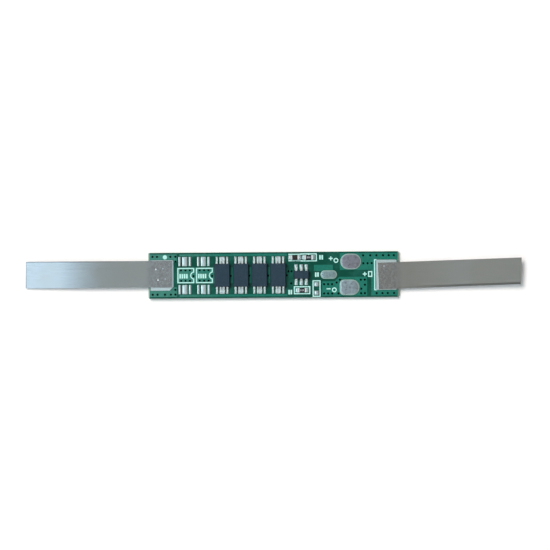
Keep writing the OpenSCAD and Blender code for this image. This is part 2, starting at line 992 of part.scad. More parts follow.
module chip_marks() {
    chip_place(resistor_1_x, upper_chip_y) {
        box_outline(box_l, box_w);
        translate([0, box_w / 2 - tick_l / 2])
            square([line_w, tick_l], center = true);
    }
    chip_place(resistor_2_x, lower_chip_y)
        box_outline(box_l, box_w);
    chip_place(spare_x, spare_y, 90)
        box_outline(box_l, box_w);
    // The capacitor's box shares its right side with the resistor's
    cap_box_l = resistor_1_x - box_l / 2 - control_x;
    translate([control_x + cap_box_l / 2 + line_w, upper_chip_y])
        box_outline(cap_box_l, box_w - line_w / 2);
}

module bracket() {
    translate([bracket_x, pos_land_y - bracket_h / 2])
        square([bracket_w, bracket_h]);
    for (side = [-1, 1])
        translate([bracket_x, pos_land_y + side * (bracket_h - line_w) / 2 - line_w / 2])
            square([bracket_tip, line_w]);
}

module print_pattern() {
    for (k = [0 : 1 : empty_places - 1])
        translate([place_x(k), 0])
            place_mark();
    chip_marks();
    bracket();
    translate(plus_ring_at)
        ring(ring_r);
    translate(minus_ring_at)
        ring(ring_r);
    translate(square_at)
        box_outline(square_mark[0], square_mark[1]);
    translate(dot_at)
        circle(dot_r);
    bars(2, upper_bars_at);
    bars(2, lower_bars_at);
    bars(2, spare_bars_at);
}

module legend() {
    color(ink)
        translate([0, 0, board_t])
            difference() {
                linear_extrude(pour_h + ink_t)
                    difference() {
                        print_pattern();
                        all_lands_outline(mask_gap);
                        vias();
                    }
                linear_extrude(pour_h)
                    pours();
            }
}

// ---- Parts ----

board();
fet_lands();
control_lands();
chip_lands();
b_minus_land();
b_plus_land();
p_plus_land();
p_minus_land();
sense_land();
fet(1);  // fet_1
fet(2);  // fet_2
fet(3);  // fet_3
fet(4);  // fet_4
fet_leads(1);  // fet_leads_1
fet_leads(2);  // fet_leads_2
fet_leads(3);  // fet_leads_3
fet_leads(4);  // fet_leads_4
control_chip();
control_leads();
resistor_1();
resistor_1_ends();
resistor_1_glaze();
resistor_2();
resistor_2_ends();
resistor_2_glaze();
capacitor();
capacitor_ends();
tab_minus();
tab_plus();
tab_minus_solder();
tab_plus_solder();
fet_solder();
control_solder();
chip_solder();
legend();
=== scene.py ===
"""Looks of the battery management board: finishes, solder, print and a plain studio."""

import json
import math

import bpy
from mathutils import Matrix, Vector

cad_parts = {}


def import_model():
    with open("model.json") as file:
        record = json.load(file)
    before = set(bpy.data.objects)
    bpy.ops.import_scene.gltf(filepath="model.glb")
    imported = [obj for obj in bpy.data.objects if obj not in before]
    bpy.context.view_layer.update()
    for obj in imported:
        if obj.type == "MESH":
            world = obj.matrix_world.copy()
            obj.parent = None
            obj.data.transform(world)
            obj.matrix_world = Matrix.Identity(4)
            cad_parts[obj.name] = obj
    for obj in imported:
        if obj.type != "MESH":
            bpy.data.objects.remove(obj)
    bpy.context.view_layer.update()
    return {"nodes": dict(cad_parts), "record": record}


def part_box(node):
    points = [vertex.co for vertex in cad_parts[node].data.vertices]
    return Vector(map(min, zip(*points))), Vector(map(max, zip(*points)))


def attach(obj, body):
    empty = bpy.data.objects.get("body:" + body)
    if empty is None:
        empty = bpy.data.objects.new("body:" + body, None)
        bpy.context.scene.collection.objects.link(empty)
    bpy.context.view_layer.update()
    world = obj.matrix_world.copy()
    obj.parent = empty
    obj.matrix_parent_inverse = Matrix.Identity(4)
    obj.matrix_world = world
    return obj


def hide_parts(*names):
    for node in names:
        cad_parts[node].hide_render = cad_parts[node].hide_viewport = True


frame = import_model()

MM = 0.001

# Places read from the frame
BOARD_LOW, BOARD_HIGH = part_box("board")
LAND_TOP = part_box("fet_lands")[1].z
LAMINATE_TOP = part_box("fet_lands")[0].z
COPPER_TOP = BOARD_HIGH.z
INK_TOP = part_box("legend")[1].z

# Places in mm of the painted glints on the weld marks, off the inner end and the near side of the
# left strip
WELD_GLINTS = [
    (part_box("tab_minus")[1].x / MM - along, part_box("tab_minus")[0].y / MM + across)
    for along, across in ((3.1, 3.4), (2.72, 1.4))
]

# Width of the scored step at each end of the board
SCORE_WIDTH = 0.25 * MM
# How far inside a surface a material still counts as that surface
EDGE_SKIN = 0.02 * MM
INK_THICKNESS = INK_TOP - COPPER_TOP


# ---- Shader helpers ----


class Shader:
    """One procedural material, written as a chain of small node calls."""

    def __init__(self, name):
        self.material = bpy.data.materials.new(name)
        self.material.use_nodes = True
        self.tree = self.material.node_tree
        self.surface = self.tree.nodes["Principled BSDF"]
        coordinates = self.tree.nodes.new("ShaderNodeTexCoord")
        scaling = self.tree.nodes.new("ShaderNodeVectorMath")
        scaling.operation = "SCALE"
        scaling.inputs["Scale"].default_value = 1 / MM
        self.tree.links.new(coordinates.outputs["Object"], scaling.inputs[0])
        self.position = scaling.outputs[0]

    def put(self, socket, value):
        if isinstance(value, bpy.types.NodeSocket):
            self.tree.links.new(value, socket)
        else:
            socket.default_value = value

    def set(self, **values):
        for name, value in values.items():
            self.put(self.surface.inputs[name.replace("_", " ")], value)

    def math(self, operation, a, b=0.0):
        node = self.tree.nodes.new("ShaderNodeMath")
        node.operation = operation
        self.put(node.inputs[0], a)
        self.put(node.inputs[1], b)
        return node.outputs[0]

    def axes(self, vector=None):
        node = self.tree.nodes.new("ShaderNodeSeparateXYZ")
        self.put(node.inputs[0], vector or self.position)
        return node.outputs

    def stretched(self, x, y, z):
        node = self.tree.nodes.new("ShaderNodeVectorMath")
        node.operation = "MULTIPLY"
        self.put(node.inputs[0], self.position)
        node.inputs[1].default_value = (x, y, z)
        return node.outputs[0]

    def noise(self, scale, detail, roughness=0.55, vector=None):
        node = self.tree.nodes.new("ShaderNodeTexNoise")
        node.inputs["Scale"].default_value = scale
        node.inputs["Detail"].default_value = detail
        node.inputs["Roughness"].default_value = roughness
        self.put(node.inputs["Vector"], vector or self.position)
        return node.outputs["Fac"]

    def cells(self, scale):
        node = self.tree.nodes.new("ShaderNodeTexVoronoi")
        node.feature = "F1"
        node.inputs["Scale"].default_value = scale
        self.put(node.inputs["Vector"], self.position)
        return node.outputs["Distance"]

    def remap(self, value, low, high, to_low=0.0, to_high=1.0):
        node = self.tree.nodes.new("ShaderNodeMapRange")
        node.interpolation_type = "SMOOTHSTEP"
        for socket, number in zip(node.inputs[1:5], (low, high, to_low, to_high)):
            socket.default_value = number
        self.put(node.inputs["Value"], value)
        return node.outputs["Result"]

    def mix(self, factor, a, b, blend="MIX"):
        node = self.tree.nodes.new("ShaderNodeMix")
        node.data_type = "RGBA"
        node.blend_type = blend
        self.put(node.inputs[0], factor)
        for socket, value in zip(node.inputs[6:8], (a, b)):
            self.put(socket, value if isinstance(value, bpy.types.NodeSocket) else rgba(value))
        return node.outputs[2]

    def bump(self, height, distance, strength):
        node = self.tree.nodes.new("ShaderNodeBump")
        node.inputs["Strength"].default_value = strength
        node.inputs["Distance"].default_value = distance * MM
        self.put(node.inputs["Height"], height)
        self.put(self.surface.inputs["Normal"], node.outputs[0])

    def facing_up(self):
        geometry = self.tree.nodes.new("ShaderNodeNewGeometry")
        return self.axes(geometry.outputs["Normal"])[2]


def near_edge(node):
    """Where the near long side of a strip starts, and how it drifts in Y along X."""
    far_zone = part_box(node)[1].x - 0.6 * MM
    points = [v.co for v in frame["nodes"][node].data.vertices]
    start = min(points, key=lambda p: p.y)
    end = min((p for p in points if p.x > far_zone), key=lambda p: p.y)
    return start, (end.y - start.y) / (end.x - start.x)


def rgba(colour):
    return tuple(colour) + (1.0,) if len(colour) == 3 else tuple(colour)


# ---- Materials ----


def solder_mask():
    """Green mask, lighter over copper, with raw laminate at the cut edges."""
    s = Shader("solder_mask")
    x, y, z = s.axes()
    bare = (0.0005, 0.062, 0.041)
    copper = (0.012, 0.168, 0.122)
    over_copper = s.remap(z, (LAMINATE_TOP + 0.2 * INK_THICKNESS) / MM, COPPER_TOP / MM - 0.01)
    patches = s.noise(0.55, 3.0)
    weave = s.noise(3.2, 2.0, vector=s.stretched(1, 1, 0.1))
    tone = s.mix(over_copper, bare, copper)
    tone = s.mix(s.remap(patches, 0.35, 0.75, 0.0, 0.3), tone, (0.030, 0.190, 0.150))

    # Copper looks paler towards the left end
    paler = s.math("MULTIPLY", over_copper, s.remap(x, -8.0, -21.0, 0.0, 0.5))
    tone = s.mix(paler, tone, (0.085, 0.270, 0.225))
    tone = s.mix(s.remap(weave, 0.4, 0.7, 0.0, 0.25), tone, (0.002, 0.050, 0.036))

    # Cut edges: glass cloth in pale resin, in layers through the thickness
    across = s.math("GREATER_THAN", s.math("ABSOLUTE", y), (BOARD_HIGH.y - EDGE_SKIN) / MM)
    end_reach = (BOARD_HIGH.x - SCORE_WIDTH + EDGE_SKIN) / MM
    along = s.math("GREATER_THAN", s.math("ABSOLUTE", x), end_reach)
    raw = s.math("MAXIMUM", across, along)
    layers = s.noise(1.0, 4.0, vector=s.stretched(0.6, 0.6, 9.0))
    fibres = s.noise(7.0, 2.0)
    laminate = s.mix(layers, (0.17, 0.30, 0.24), (0.34, 0.48, 0.40))
    laminate = s.mix(s.remap(fibres, 0.45, 0.7, 0.0, 0.5), laminate, (0.46, 0.60, 0.52))

    # Walls of the vias, plated and then plugged: near black, painted shade down the holes
    steep = s.math("LESS_THAN", s.math("ABSOLUTE", s.facing_up()), 0.4)
    below = s.math("LESS_THAN", z, (LAMINATE_TOP - EDGE_SKIN) / MM)
    wall = s.math("MULTIPLY", steep, below)
    tone = s.mix(wall, tone, (0.0, 0.012, 0.008))
    tone = s.mix(raw, tone, laminate)

    rough = s.remap(s.noise(2.4, 3.0), 0.3, 0.7, 0.30, 0.44)
    s.set(Base_Color=tone, Roughness=s.math("MAXIMUM", rough, s.math("MULTIPLY", raw, 0.7)))
    s.set(Specular_IOR_Level=0.22)
    fine = s.noise(9.0, 3.0)
    s.bump(s.math("ADD", s.math("MULTIPLY", weave, 0.6), fine), 0.006, 0.5)
    return s.material


def tinned(name, bright, dull, rough_low, rough_high, metal, grain=1.6):
    """Hot-tinned metal with soft frosted patches."""
    s = Shader(name)
    frost = s.noise(grain, 3.0, 0.55)
    spots = s.cells(grain * 2.1)
    tone = s.mix(s.remap(frost, 0.3, 0.7), dull, bright)
    tone = s.mix(s.remap(spots, 0.0, 0.18, 0.25, 0.0), tone, [c * 0.6 for c in dull])
    s.set(Base_Color=tone, Roughness=s.remap(frost, 0.25, 0.75, rough_high, rough_low))
    s.set(Metallic=metal)
    fine = s.noise(grain * 4, 2.0)
    height = s.math("ADD", s.math("MULTIPLY", frost, 1.2), s.math("MULTIPLY", fine, 0.5))
    s.bump(height, 0.006, 0.5)
    return s.material


def nickel():
    """Cold-rolled nickel strip: roll lines, stains and mottling, with painted glints on the weld
    marks and painted shade along the sheared edges.
    """
    s = Shader("nickel")
    x, y, _ = s.axes()
    lines = s.noise(1.0, 5.0, 0.7, vector=s.stretched(0.12, 7.0, 7.0))
    fine = s.noise(1.0, 3.0, 0.7, vector=s.stretched(0.6, 34.0, 34.0))
    stains = s.noise(0.22, 3.0)
    mottle = s.noise(1.9, 5.0, 0.7)
    grain = s.noise(2.8, 4.0, 0.7)
    tone = s.mix(s.remap(lines, 0.3, 0.7), (0.78, 0.79, 0.78), (0.87, 0.88, 0.86))
    tone = s.mix(s.remap(stains, 0.45, 0.75, 0.0, 0.35), tone, (0.80, 0.77, 0.68))
    tone = s.mix(s.remap(mottle, 0.5, 0.75, 0.0, 0.3), tone, (0.68, 0.69, 0.68))

    # Dulled by the soldering iron where the strip lies on the board
    lap = s.remap(s.math("ABSOLUTE", x), BOARD_HIGH.x / MM + 0.8, BOARD_HIGH.x / MM - 0.6)
    dulled = s.mix(s.remap(grain, 0.35, 0.65), (0.56, 0.56, 0.60), (0.80, 0.82, 0.84))
    tone = s.mix(s.math("MULTIPLY", lap, 0.8), tone, dulled)
    # Painted glints: near-white spots on the weld marks
    bright_to, clear_from = 0.015, 0.035  # squares of the distance in mm
    for glint_x, glint_y in WELD_GLINTS:
        off_x, off_y = s.math("SUBTRACT", x, glint_x), s.math("SUBTRACT", y, glint_y)
        square = s.math("ADD", s.math("MULTIPLY", off_x, off_x), s.math("MULTIPLY", off_y, off_y))
        tone = s.mix(s.remap(square, bright_to, clear_from, 0.9, 0.0), tone, (1.0, 1.0, 1.0))

    # Painted shade along the sheared edges, the far long side and the end of the left strip
    # and the near long side of the right one: painted shadow beside them and painted dark
    # reflection in their rolled rims
    def painted_edge_shade(distance, dark, clear, share, begins, full):
        """A painted shade line from dark to clear mm off an edge, that begins and is full at two
        X.
        """
        line = s.remap(distance, dark, clear, share, 0.0)
        return s.math("MULTIPLY", line, s.remap(x, begins, full))

    low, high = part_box("tab_minus")
    from_top = s.math("SUBTRACT", high.y / MM, y)
    from_end = s.math("SUBTRACT", x, low.x / MM)
    nearest = s.math("MINIMUM", from_top, from_end)
    left = painted_edge_shade(nearest, dark=0.08, clear=0.26, share=0.5, begins=-26.0, full=-36.0)
    start, slope = near_edge("tab_plus")
    drift = s.math("MULTIPLY", s.math("SUBTRACT", x, start.x / MM), slope)
    from_near = s.math("SUBTRACT", s.math("SUBTRACT", y, start.y / MM), drift)
    right = painted_edge_shade(from_near, dark=0.28, clear=0.52, share=0.55, begins=22.0, full=36.0)
    tone = s.mix(s.math("MAXIMUM", left, right), tone, (0.10, 0.10, 0.10))

    s.set(Base_Color=tone, Metallic=1.0, Roughness=s.remap(mottle, 0.3, 0.7, 0.17, 0.22))
    height = s.math("ADD", s.math("MULTIPLY", lines, 0.3), s.math("MULTIPLY", fine, 0.3))
    height = s.math("ADD", height, s.math("MULTIPLY", s.math("MULTIPLY", grain, lap), 2.0))
    s.bump(s.math("ADD", height, s.math("MULTIPLY", mottle, 0.8)), 0.004, 0.5)
    return s.material


def output_tin(name, upper, lower, grain):
    """Dull tin inside a pale rim where the mask laps over the edge of the land."""
    s = Shader(name)
    _, y, z = s.axes()
    frost = s.noise(grain, 5.0, 0.65)
    brushed = s.noise(1.0, 4.0, 0.6, vector=s.stretched(1.4, 5.0, 5.0))
    tone = s.mix(s.remap(y, -1.0, 1.0), lower, upper)
    worn = s.mix(1.0, tone, (0.62, 0.62, 0.64), "MULTIPLY")
    tone = s.mix(s.remap(frost, 0.35, 0.65, 0.0, 0.55), tone, worn)
    tone = s.mix(s.remap(brushed, 0.55, 0.75, 0.0, 0.35), tone, (0.86, 0.86, 0.88))
    rim_top = LAMINATE_TOP + (LAND_TOP - LAMINATE_TOP) * 0.72
    rim = s.remap(z, rim_top / MM - 0.004, rim_top / MM + 0.008, 1.0, 0.0)
    tone = s.mix(rim, tone, (0.30, 0.46, 0.42))
    s.set(Base_Color=tone, Metallic=s.math("SUBTRACT", 1.0, s.math("MULTIPLY", rim, 0.8)))
    s.set(Roughness=s.remap(frost, 0.3, 0.7, 0.40, 0.26))
    s.bump(s.math("ADD", frost, s.math("MULTIPLY", brushed, 0.5)), 0.006, 0.5)
    return s.material


def epoxy():
    """Moulded package: dark, slightly blue, with a fine spark-eroded texture."""
    s = Shader("epoxy")
    grain = s.noise(11.0, 4.0, 0.7)
    cloud = s.noise(1.6, 2.0)
    tone = s.mix(s.remap(grain, 0.3, 0.72), (0.010, 0.026, 0.043), (0.030, 0.060, 0.086))
    tone = s.mix(s.remap(cloud, 0.4, 0.7, 0.0, 0.3), tone, (0.030, 0.052, 0.072))
    s.set(Base_Color=tone, Roughness=s.remap(grain, 0.3, 0.7, 0.42, 0.56))
    s.set(Specular_IOR_Level=0.3)
    s.bump(grain, 0.014, 0.7)
    return s.material


def lead_tin():
    """Matt tin plating."""
    s = Shader("lead_tin")
    grain = s.noise(9.0, 3.0)
    tone = s.mix(s.remap(grain, 0.3, 0.7), (0.80, 0.90, 0.90), (0.90, 0.98, 0.97))
    s.set(Base_Color=tone, Roughness=s.remap(grain, 0.3, 0.7, 0.46, 0.38))
    s.set(Metallic=0.55)
    s.bump(grain, 0.003, 0.4)
    return s.material


def plain(name, low, high, scale, rough, relief, shine=0.4):
    """A dull material with two tones of grain."""
    s = Shader(name)
    grain = s.noise(scale, 4.0, 0.6)
    s.set(Base_Color=s.mix(s.remap(grain, 0.3, 0.7), low, high))
    s.set(Roughness=s.remap(grain, 0.3, 0.7, rough, rough * 0.8))
    s.set(Specular_IOR_Level=shine)
    s.bump(grain, relief, 0.5)
    return s.material


# Numbers after the two tones: lowest and highest roughness for tinned(), size of the grain
# for output_tin(), and grain per mm, roughness, relief in mm and shine for plain()
MATERIALS = {
    "solder_mask": solder_mask(),
    "tinned_lands": tinned(
        "tinned_lands", (0.88, 0.99, 0.98), (0.74, 0.92, 0.92), 0.30, 0.40, metal=0.8
    ),
    "output_lands": output_tin("output_lands", (0.62, 0.58, 0.64), (0.76, 0.86, 0.90), 1.8),
    "solder": tinned(
        "solder", (0.90, 0.99, 0.98), (0.80, 0.93, 0.92), 0.28, 0.38, metal=0.75, grain=2.4
    ),
    "nickel": nickel(),
    "epoxy": epoxy(),
    "lead_tin": lead_tin(),
    "ceramic": plain("ceramic", (0.66, 0.65, 0.60), (0.76, 0.75, 0.70), 11.0, 0.6, 0.006),
    "glaze": plain("glaze", (0.014, 0.012, 0.018), (0.030, 0.026, 0.034), 14.0, 0.4, 0.004, 0.25),
    "capacitor_body": plain(
        "capacitor_body", (0.020, 0.019, 0.018), (0.036, 0.033, 0.030), 13.0, 0.5, 0.005, 0.2
    ),
    "legend_ink": plain("legend_ink", (0.40, 0.76, 0.70), (0.54, 0.90, 0.84), 7.0, 0.62, 0.006),
}

SENSE_TIN = output_tin("sense_tin", (0.62, 0.80, 0.80), (0.62, 0.80, 0.80), 4.2)
# Near-black plugs in the vias: painted shade in the holes
VIA_SHADE_PLUG = plain("via_shade_plug", (0.0, 0.010, 0.006), (0.001, 0.018, 0.012), 9.0, 0.7, 0.004, 0.05)
VALUE_INK = plain("value_ink", (0.42, 0.48, 0.50), (0.56, 0.62, 0.64), 12.0, 0.6, 0.004)

SLOT_OF = {row["node"]: row["material_slot"] for row in frame["record"]["subparts"]}


def dress_nodes():
    """Gives every CAD node its slot's material."""
    for name, node in frame["nodes"].items():
        node.data.materials.clear()
        node.data.materials.append(MATERIALS[SLOT_OF[name]])


def soften(name, width, segments=2):
    """Rounds the visible edges of a CAD node a little."""
    bevel = frame["nodes"][name].modifiers.new("soft_edge", "BEVEL")
    bevel.width = width * MM
    bevel.segments = segments
    bevel.limit_method = "ANGLE"
    bevel.angle_limit = math.radians(40)


# ---- Mesh helpers ----


def piece(name, verts, faces, slot, replaces=(), material=None):
    """A new mesh that rides on the board, with its slot's material or one of its own."""
    mesh = bpy.data.meshes.new(name)
    mesh.from_pydata(verts, [], faces)
    mesh.update()
    mesh.polygons.foreach_set("use_smooth", [True] * len(mesh.polygons))
    mesh.materials.append(material or MATERIALS[slot])
    obj = bpy.data.objects.new(name, mesh)
    bpy.context.scene.collection.objects.link(obj)
    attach(obj, "root")
    if replaces:
        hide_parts(*replaces)
    return obj


def joined(links):
    """Groups of places that hang together, where each link is a list of touching places."""
    parent = {}

    def root(place):
        while parent[place] != place:
            parent[place] = parent[parent[place]]
            place = parent[place]
        return place

    for places in links:
        for place in places:
            parent.setdefault(place, place)
            parent[root(place)] = root(places[0])
    groups = {}
    for place in parent:
        groups.setdefault(root(place), []).append(place)
    return list(groups.values())


def islands(node):
    """Boxes (low, high) of the separate solids of a CAD node, from left to right."""
    mesh = frame["nodes"][node].data
    place_of = [tuple(round(c * 1e7) for c in v.co) for v in mesh.vertices]
    points_at = {}
    for vertex, place in zip(mesh.vertices, place_of):
        points_at.setdefault(place, []).append(vertex.co)
    boxes = []
    for group in joined([[place_of[v] for v in edge.vertices] for edge in mesh.edges]):
        points = [p for place in group for p in points_at[place]]
        low = Vector([min(p[i] for p in points) for i in range(3)])
        high = Vector([max(p[i] for p in points) for i in range(3)])
        boxes.append((low, high))
    return sorted(boxes, key=lambda b: (round(b[0].x, 6), round(b[0].y, 6)))


def corners(low, high):
    return [(low.x, low.y), (high.x, low.y), (high.x, high.y), (low.x, high.y)]


def inset(points, distance):
    """A convex outline, run anticlockwise, moved inwards with its edges parallel."""
    moved = []
    count = len(points)
    for i in range(count):
        p = Vector(points[i])
        before = (p - Vector(points[i - 1])).normalized()
        after = (Vector(points[(i + 1) % count]) - p).normalized()
        n1 = Vector((-before.y, before.x))
        n2 = Vector((-after.y, after.x))
        moved.append(p + (n1 + n2) * (distance / (1 + n1.dot(n2))))
    return moved


def rounded(points, radii):
    """The outline with each corner replaced by an arc of steps + 1 points."""
    steps = 6
    out = []
    count = len(points)
    for i in range(count):
        p = Vector(points[i])
        before = (Vector(points[i - 1]) - p).normalized()
        after = (Vector(points[(i + 1) % count]) - p).normalized()
        half = before.angle(after) / 2
        radius = max(radii[i], 1e-6)
        centre = p + (before + after).normalized() * (radius / math.sin(half))
        start = p + before * (radius / math.tan(half))
        end = p + after * (radius / math.tan(half))
        a0 = math.atan2(*(start - centre).yx)
        sweep = (math.atan2(*(end - centre).yx) - a0) % (2 * math.pi)
        for k in range(steps + 1):
            a = a0 + sweep * k / steps
            out.append(centre + radius * Vector((math.cos(a), math.sin(a))))
    return out


class Build:
    """Collects the faces of several islands into one mesh."""

    def __init__(self):
        self.verts = []
        self.faces = []

    def ring(self, points, z):
        start = len(self.verts)
        self.verts += [(p.x, p.y, z) for p in points]
        return list(range(start, len(self.verts)))

    def bridge(self, lower, upper):
        count = len(lower)
        for i in range(count):
            j = (i + 1) % count
            self.faces.append((lower[i], lower[j], upper[j], upper[i]))

    def cap(self, ring, z, down=False):
        centre = [sum(self.verts[i][k] for i in ring) / len(ring) for k in (0, 1)]
        self.verts.append((centre[0], centre[1], z))
        middle = len(self.verts) - 1
        for i, a in enumerate(ring):
            b = ring[(i + 1) % len(ring)]
            self.faces.append((b, a, middle) if down else (a, b, middle))

    def pillow(self, points, radii, base, profile):
        """A closed mound: profile lists (inset, height) from its foot to its crown."""
        rings = []
        sharpest = 0.02 * MM
        for distance, z in profile:
            shrunk = [max(r - distance, sharpest) for r in radii]
            rings.append(self.ring(rounded(inset(points, distance), shrunk), z))
        floor = self.ring([Vector(self.verts[i][:2]) for i in rings[0]], base)
        self.bridge(floor, rings[0])
        for lower, upper in zip(rings, rings[1:]):
            self.bridge(lower, upper)
        self.cap(rings[-1], profile[-1][1])
        self.cap(floor, base, down=True)


def crown(width, foot, top):
    """Profile of a mound that is round across a width, up to a narrow flat at its middle."""
    steps = 7
    round_share = 0.96
    half = width / 2 * round_share
    return [
        (half * (1 - math.cos(t)), foot + (top - foot) * math.sin(t))
        for t in (math.pi / 2 * k / steps for k in range(steps + 1))
    ]


# ---- Lands ----


def tinned_islands(node, name, corner, rise):
    """Each land of a node as a crowned pool of tin, that rises less on a narrow land."""
    build = Build()
    foot_share, full_width = 0.4, 0.8 * MM
    for low, high in islands(node):
        width = min(high.x - low.x, high.y - low.y)
        foot = low.z + (high.z - low.z) * foot_share
        profile = crown(width, foot, high.z + rise * MM * min(1.0, width / full_width))
        build.pillow(corners(low, high), [corner * MM] * 4, low.z, profile)
    piece(name, build.verts, build.faces, "tinned_lands", [node])


def output_land(node, name, left, right, material=None):
    """A wide flat land with a low rim; left and right round its corners, as shares of it."""
    build = Build()
    low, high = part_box(node)
    width = high.y - low.y
    radii = [left * width, right * width, right * width, left * width]
    rim_share = 0.66
    rim = low.z + (high.z - low.z) * rim_share
    profile = [
        (0, rim - 0.012 * MM),
        (0.02 * MM, rim),
        (0.15 * MM, rim + 0.002 * MM),
        (0.24 * MM, (rim + high.z) / 2),
        (0.36 * MM, high.z - 0.003 * MM),
        (0.50 * MM, high.z),
        (width * 0.44, high.z + 0.004 * MM),
    ]
    build.pillow(corners(low, high), radii, low.z, profile)
    piece(name, build.verts, build.faces, "output_lands", [node], material=material)


def lands():
    tinned_islands("fet_lands", "fet_land_tin", corner=0.08, rise=0.03)
    tinned_islands("control_lands", "control_land_tin", corner=0.10, rise=0.02)
    tinned_islands("chip_lands", "chip_land_tin", corner=0.16, rise=0.10)
    output_land("p_plus_land", "p_plus_tin", left=0.49, right=0.49)
    output_land("p_minus_land", "p_minus_tin", left=0.28, right=0.49)
    output_land("sense_land", "sense_tin", left=0.49, right=0.49, material=SENSE_TIN)


# ---- Vias ----


def via_places():
    """Middle and radius in mm of each drilled hole, from the tall walls of the board's mesh."""
    mesh = frame["nodes"]["board"].data
    walls = []
    for face in mesh.polygons:
        points = [mesh.vertices[v].co for v in face.vertices]
        depth = max(p.z for p in points) - min(p.z for p in points)
        if abs(face.normal.z) > 0.05 or depth < 0.5 * (BOARD_HIGH.z - BOARD_LOW.z):
            continue
        walls.append([(round(p.x / MM, 3), round(p.y / MM, 3)) for p in points])
    places = []
    smallest, largest, out_of_round = 0.2, 0.6, 0.05
    for points in joined(walls):
        xs, ys = zip(*points)
        wide, deep = max(xs) - min(xs), max(ys) - min(ys)
        if smallest < wide < largest and abs(wide - deep) < out_of_round:
            places.append(((max(xs) + min(xs)) / 2, (max(ys) + min(ys)) / 2, wide / 2))
    return sorted(places)


def via_shade_plug():
    """A near-black plug in each via almost to the top: painted shade for the dark hole."""
    build = Build()
    sides = 20
    foot, top = BOARD_LOW.z + 0.1 * MM, COPPER_TOP - 0.3 * MM
    dish = 0.03 * MM
    bite = 1.03  # the fill reaches a little into the wall
    for x, y, radius in via_places():
        reach = radius * bite
        turn = [2 * math.pi * k / sides for k in range(sides)]
        points = [Vector((x + reach * math.cos(a), y + reach * math.sin(a))) * MM for a in turn]
        lower, upper = build.ring(points, foot), build.ring(points, top)
        build.bridge(lower, upper)
        build.cap(upper, top - dish)
        build.cap(lower, foot + dish, down=True)
    piece("via_shade_plug", build.verts, build.faces, "solder_mask", material=VIA_SHADE_PLUG)


# ---- Solder ----


def lead_solder(leads, name, replaced):
    """A pool of solder round the foot of each lead, rising to the middle of its thickness."""
    build = Build()
    heel_reach, toe_reach, side_room = 0.62 * MM, 0.26 * MM, 0.06 * MM
    base, foot, top = LAND_TOP - 0.03 * MM, LAND_TOP - 0.02 * MM, LAND_TOP + 0.12 * MM
    for node in leads:
        for low, high in islands(node):
            outward = 1 if low.y > 0 else -1
            tip = high.y if outward > 0 else low.y
            heel = tip - outward * heel_reach
            toe = tip + outward * toe_reach
            a = Vector((low.x - side_room, min(heel, toe)))
            b = Vector((high.x + side_room, max(heel, toe)))
            width = b.x - a.x
            build.pillow(corners(a, b), [width * 0.45] * 4, base, crown(width, foot, top))
    piece(name, build.verts, build.faces, "solder", replaced)


def chip_fillets():
    """Hollow fillets between the metal ends of the chip parts and their lands."""
    steps = 10
    lengthening = 1.6  # against the plain fillet of the CAD
    swell = 0.06  # of its width, halfway out
    corner_height = 0.55  # of the height at its middle
    corner_drop, toe_drop = 0.07 * MM, 0.05 * MM
    toe_height = LAND_TOP + 0.05 * MM
    build = Build()
    for low, high in islands("chip_solder"):
        outward = 1 if any(abs(low.x - e[1].x) < 1e-6 for e in metal_ends()) else -1
        start = low.x if outward > 0 else high.x
        reach = (high.x - low.x) * lengthening
        height = high.z - low.z
        top = []
        for i in range(steps + 1):
            u = i / steps
            row = []
            for j in range(steps + 1):
                v = 2 * j / steps - 1
                spread = (high.y - low.y) / 2 * (1 + swell * math.sin(math.pi * u))
                side = max(0.0, 1 - v ** 4)
                share = corner_height + (1 - corner_height) * side
                z = toe_height + height * (1 - math.sin(math.pi / 2 * u)) * share
                z -= corner_drop * (1 - side) + toe_drop * u * u
                row.append((start + outward * reach * u, (low.y + high.y) / 2 + v * spread, z))
            top.append(row)
        first = len(build.verts)
        for row in top:
            build.verts += row
        for row in top:
            build.verts += [(x, y, LAND_TOP - 0.02 * MM) for x, y, _ in row]
        n = steps + 1
        under = n * n
        for i in range(steps):
            for j in range(steps):
                a = first + i * n + j
                quad = (a, a + n, a + n + 1, a + 1)
                build.faces.append(quad if outward > 0 else quad[::-1])
                low_quad = tuple(k + under for k in quad)
                build.faces.append(low_quad[::-1] if outward > 0 else low_quad)
        rim = [first + j for j in range(n)]
        rim += [first + i * n + steps for i in range(1, n)]
        rim += [first + steps * n + j for j in range(steps - 1, -1, -1)]
        rim += [first + i * n for i in range(steps - 1, 0, -1)]
        for i, a in enumerate(rim):
            b = rim[(i + 1) % len(rim)]
            wall = (a, b, b + under, a + under)
            build.faces.append(wall if outward > 0 else wall[::-1])
    piece("chip_fillets", build.verts, build.faces, "solder", ["chip_solder"])


def metal_ends():
    for node in ("resistor_1_ends", "resistor_2_ends", "capacitor_ends"):
        yield from islands(node)


def solder():
    fet_leads = [f"fet_leads_{n}" for n in (1, 2, 3, 4)]
    lead_solder(fet_leads, "fet_joints", ["fet_solder"])
    lead_solder(["control_leads"], "control_joints", ["control_solder"])
    chip_fillets()


# ---- Print ----


